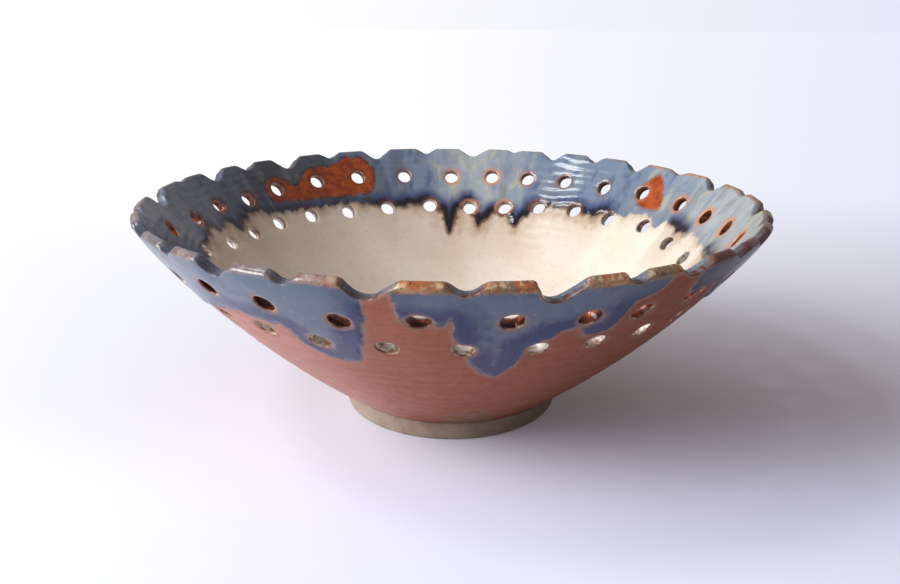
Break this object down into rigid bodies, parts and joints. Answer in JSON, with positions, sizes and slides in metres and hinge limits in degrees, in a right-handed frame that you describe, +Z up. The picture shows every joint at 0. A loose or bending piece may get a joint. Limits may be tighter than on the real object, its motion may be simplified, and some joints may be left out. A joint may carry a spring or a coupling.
{
  "type": "berry colander bowl",
  "caption": "Wide stoneware berry bowl on a low foot ring, with two rows of drain holes under a rim notched deep and shallow in turn, and run blue glazes over an iron slip.",
  "frame": {"origin": "on the bowl's axis, at the face of the foot ring that rests on the table", "axes": "+Z up along the axis that the bowl was thrown on; the viewer stands on the -Y side, so +X is the picture's right"},
  "size_m": [0.2117, 0.2118, 0.0767],
  "materials": {
    "bare_clay": "bare fired stoneware, matt and slightly rough",
    "iron_slip": "satin, mottled brick red with darker iron specks",
    "cream_liner": "gloss, cream and finely speckled",
    "blue_glaze": "gloss, slate blue pooling to cobalt at its lower edge",
    "slate_glaze": "gloss, slate to pale blue-green, near black along its lower edge",
    "iron_patches": "satin, brick orange",
    "toasted_glaze": "gloss, thin and toasted brown and orange on the lobes"
  },
  "bodies": {
    "root": {"clay_wall": "bare_clay", "foot_ring": "bare_clay", "iron_slip": "iron_slip", "cream_liner": "cream_liner", "blue_outside": "blue_glaze", "blue_inside": "slate_glaze", "iron_patches": "iron_patches", "lip_glaze": "toasted_glaze"}
  },
  "joints": []
}
